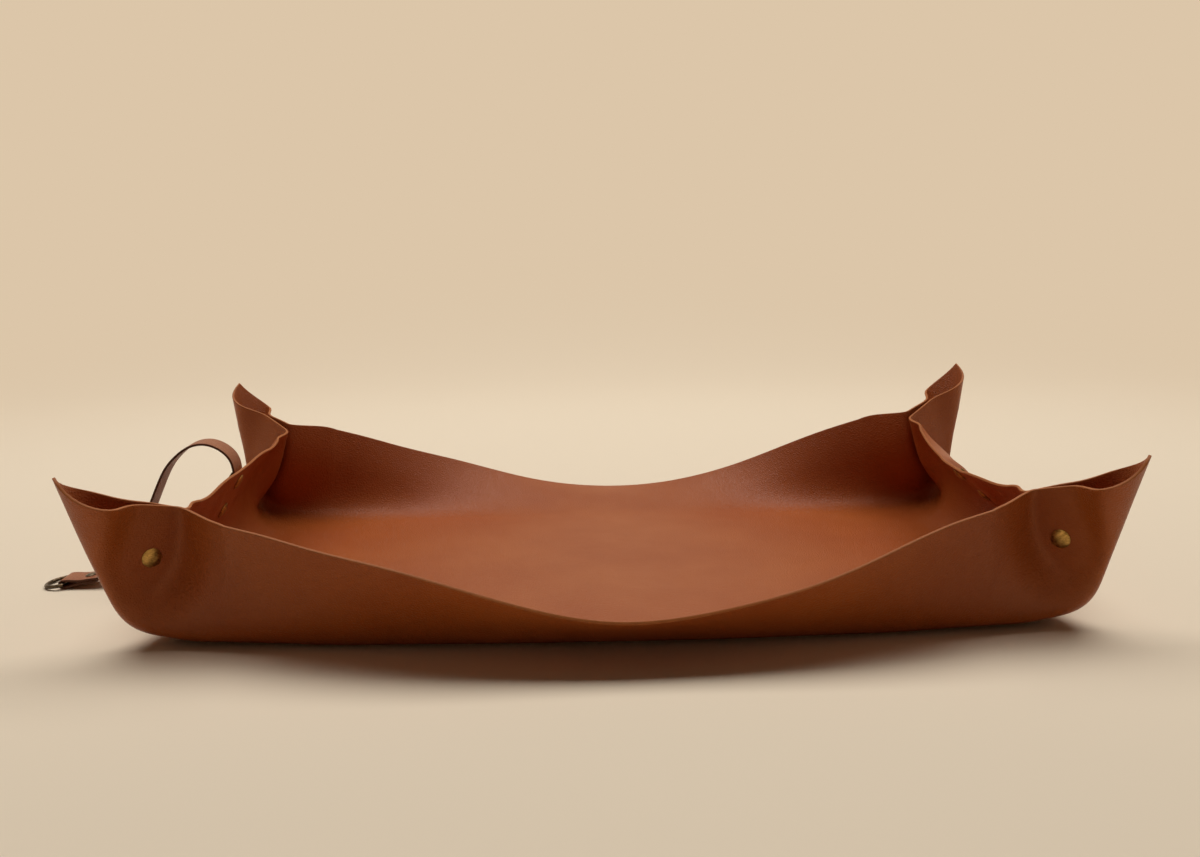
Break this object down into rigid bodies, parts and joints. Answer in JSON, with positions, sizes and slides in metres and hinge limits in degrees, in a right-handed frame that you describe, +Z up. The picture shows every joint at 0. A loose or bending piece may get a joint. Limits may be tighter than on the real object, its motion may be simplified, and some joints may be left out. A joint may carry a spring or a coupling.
{
  "type": "leather tray",
  "caption": "One leather sheet folded into a shallow tray, its corners pinched into upright ears by snaps, with a strap and a D-ring on one end wall",
  "frame": {"origin": "middle of the sheet's flat base, on the surface the tray stands on", "axes": "+X to the tray's right end, along its longest extent; +Y from the near long wall, in the picture, to the far one; +Z up. The strap is at -X"},
  "size_m": [0.8696, 0.5486, 0.1481],
  "materials": {
    "sheet_leather": "smooth cognac leather, fine grain, soft sheen",
    "strap_leather": "smooth cognac leather, satin",
    "cap_brass": "antique, brushed",
    "inner_brass": "dark antique",
    "spring_steel": "drawn wire",
    "ring_gunmetal": "dark antique plate"
  },
  "bodies": {
    "tray": {"tray_sheet": "sheet_leather", "cap_front_left": "cap_brass", "socket_front_left": "inner_brass", "spring_front_left": "spring_steel", "stud_front_left": "inner_brass", "post_front_left": "inner_brass", "cap_front_right": "cap_brass", "socket_front_right": "inner_brass", "spring_front_right": "spring_steel", "stud_front_right": "inner_brass", "post_front_right": "inner_brass", "cap_back_left": "cap_brass", "socket_back_left": "inner_brass", "spring_back_left": "spring_steel", "stud_back_left": "inner_brass", "post_back_left": "inner_brass", "cap_back_right": "cap_brass", "socket_back_right": "inner_brass", "spring_back_right": "spring_steel", "stud_back_right": "inner_brass", "post_back_right": "inner_brass", "cap_left_lower": "cap_brass", "socket_left_lower": "inner_brass", "spring_left_lower": "spring_steel", "cap_left_upper": "cap_brass", "socket_left_upper": "inner_brass", "spring_left_upper": "spring_steel", "cap_right_lower": "cap_brass", "stud_right_lower": "inner_brass", "cap_right_upper": "cap_brass", "stud_right_upper": "inner_brass"},
    "strap_body": {"strap": "strap_leather", "rivet_cap": "ring_gunmetal", "rivet_base": "ring_gunmetal"},
    "ring_body": {"d_ring": "ring_gunmetal"}
  },
  "joints": [
    {"name": "strap_swivel", "type": "hinge", "parent": "tray", "child": "strap_body", "pos_m": [-0.32153, 0.00001, 0.08435], "axis": [-0.8563, -0.0016, 0.5164], "range_deg": [0, 150]},
    {"name": "ring_swing", "type": "hinge", "parent": "strap_body", "child": "ring_body", "pos_m": [-0.46541, -0.02353, 0.0043], "axis": [0, 1, 0], "range_deg": [-140, 140]}
  ]
}
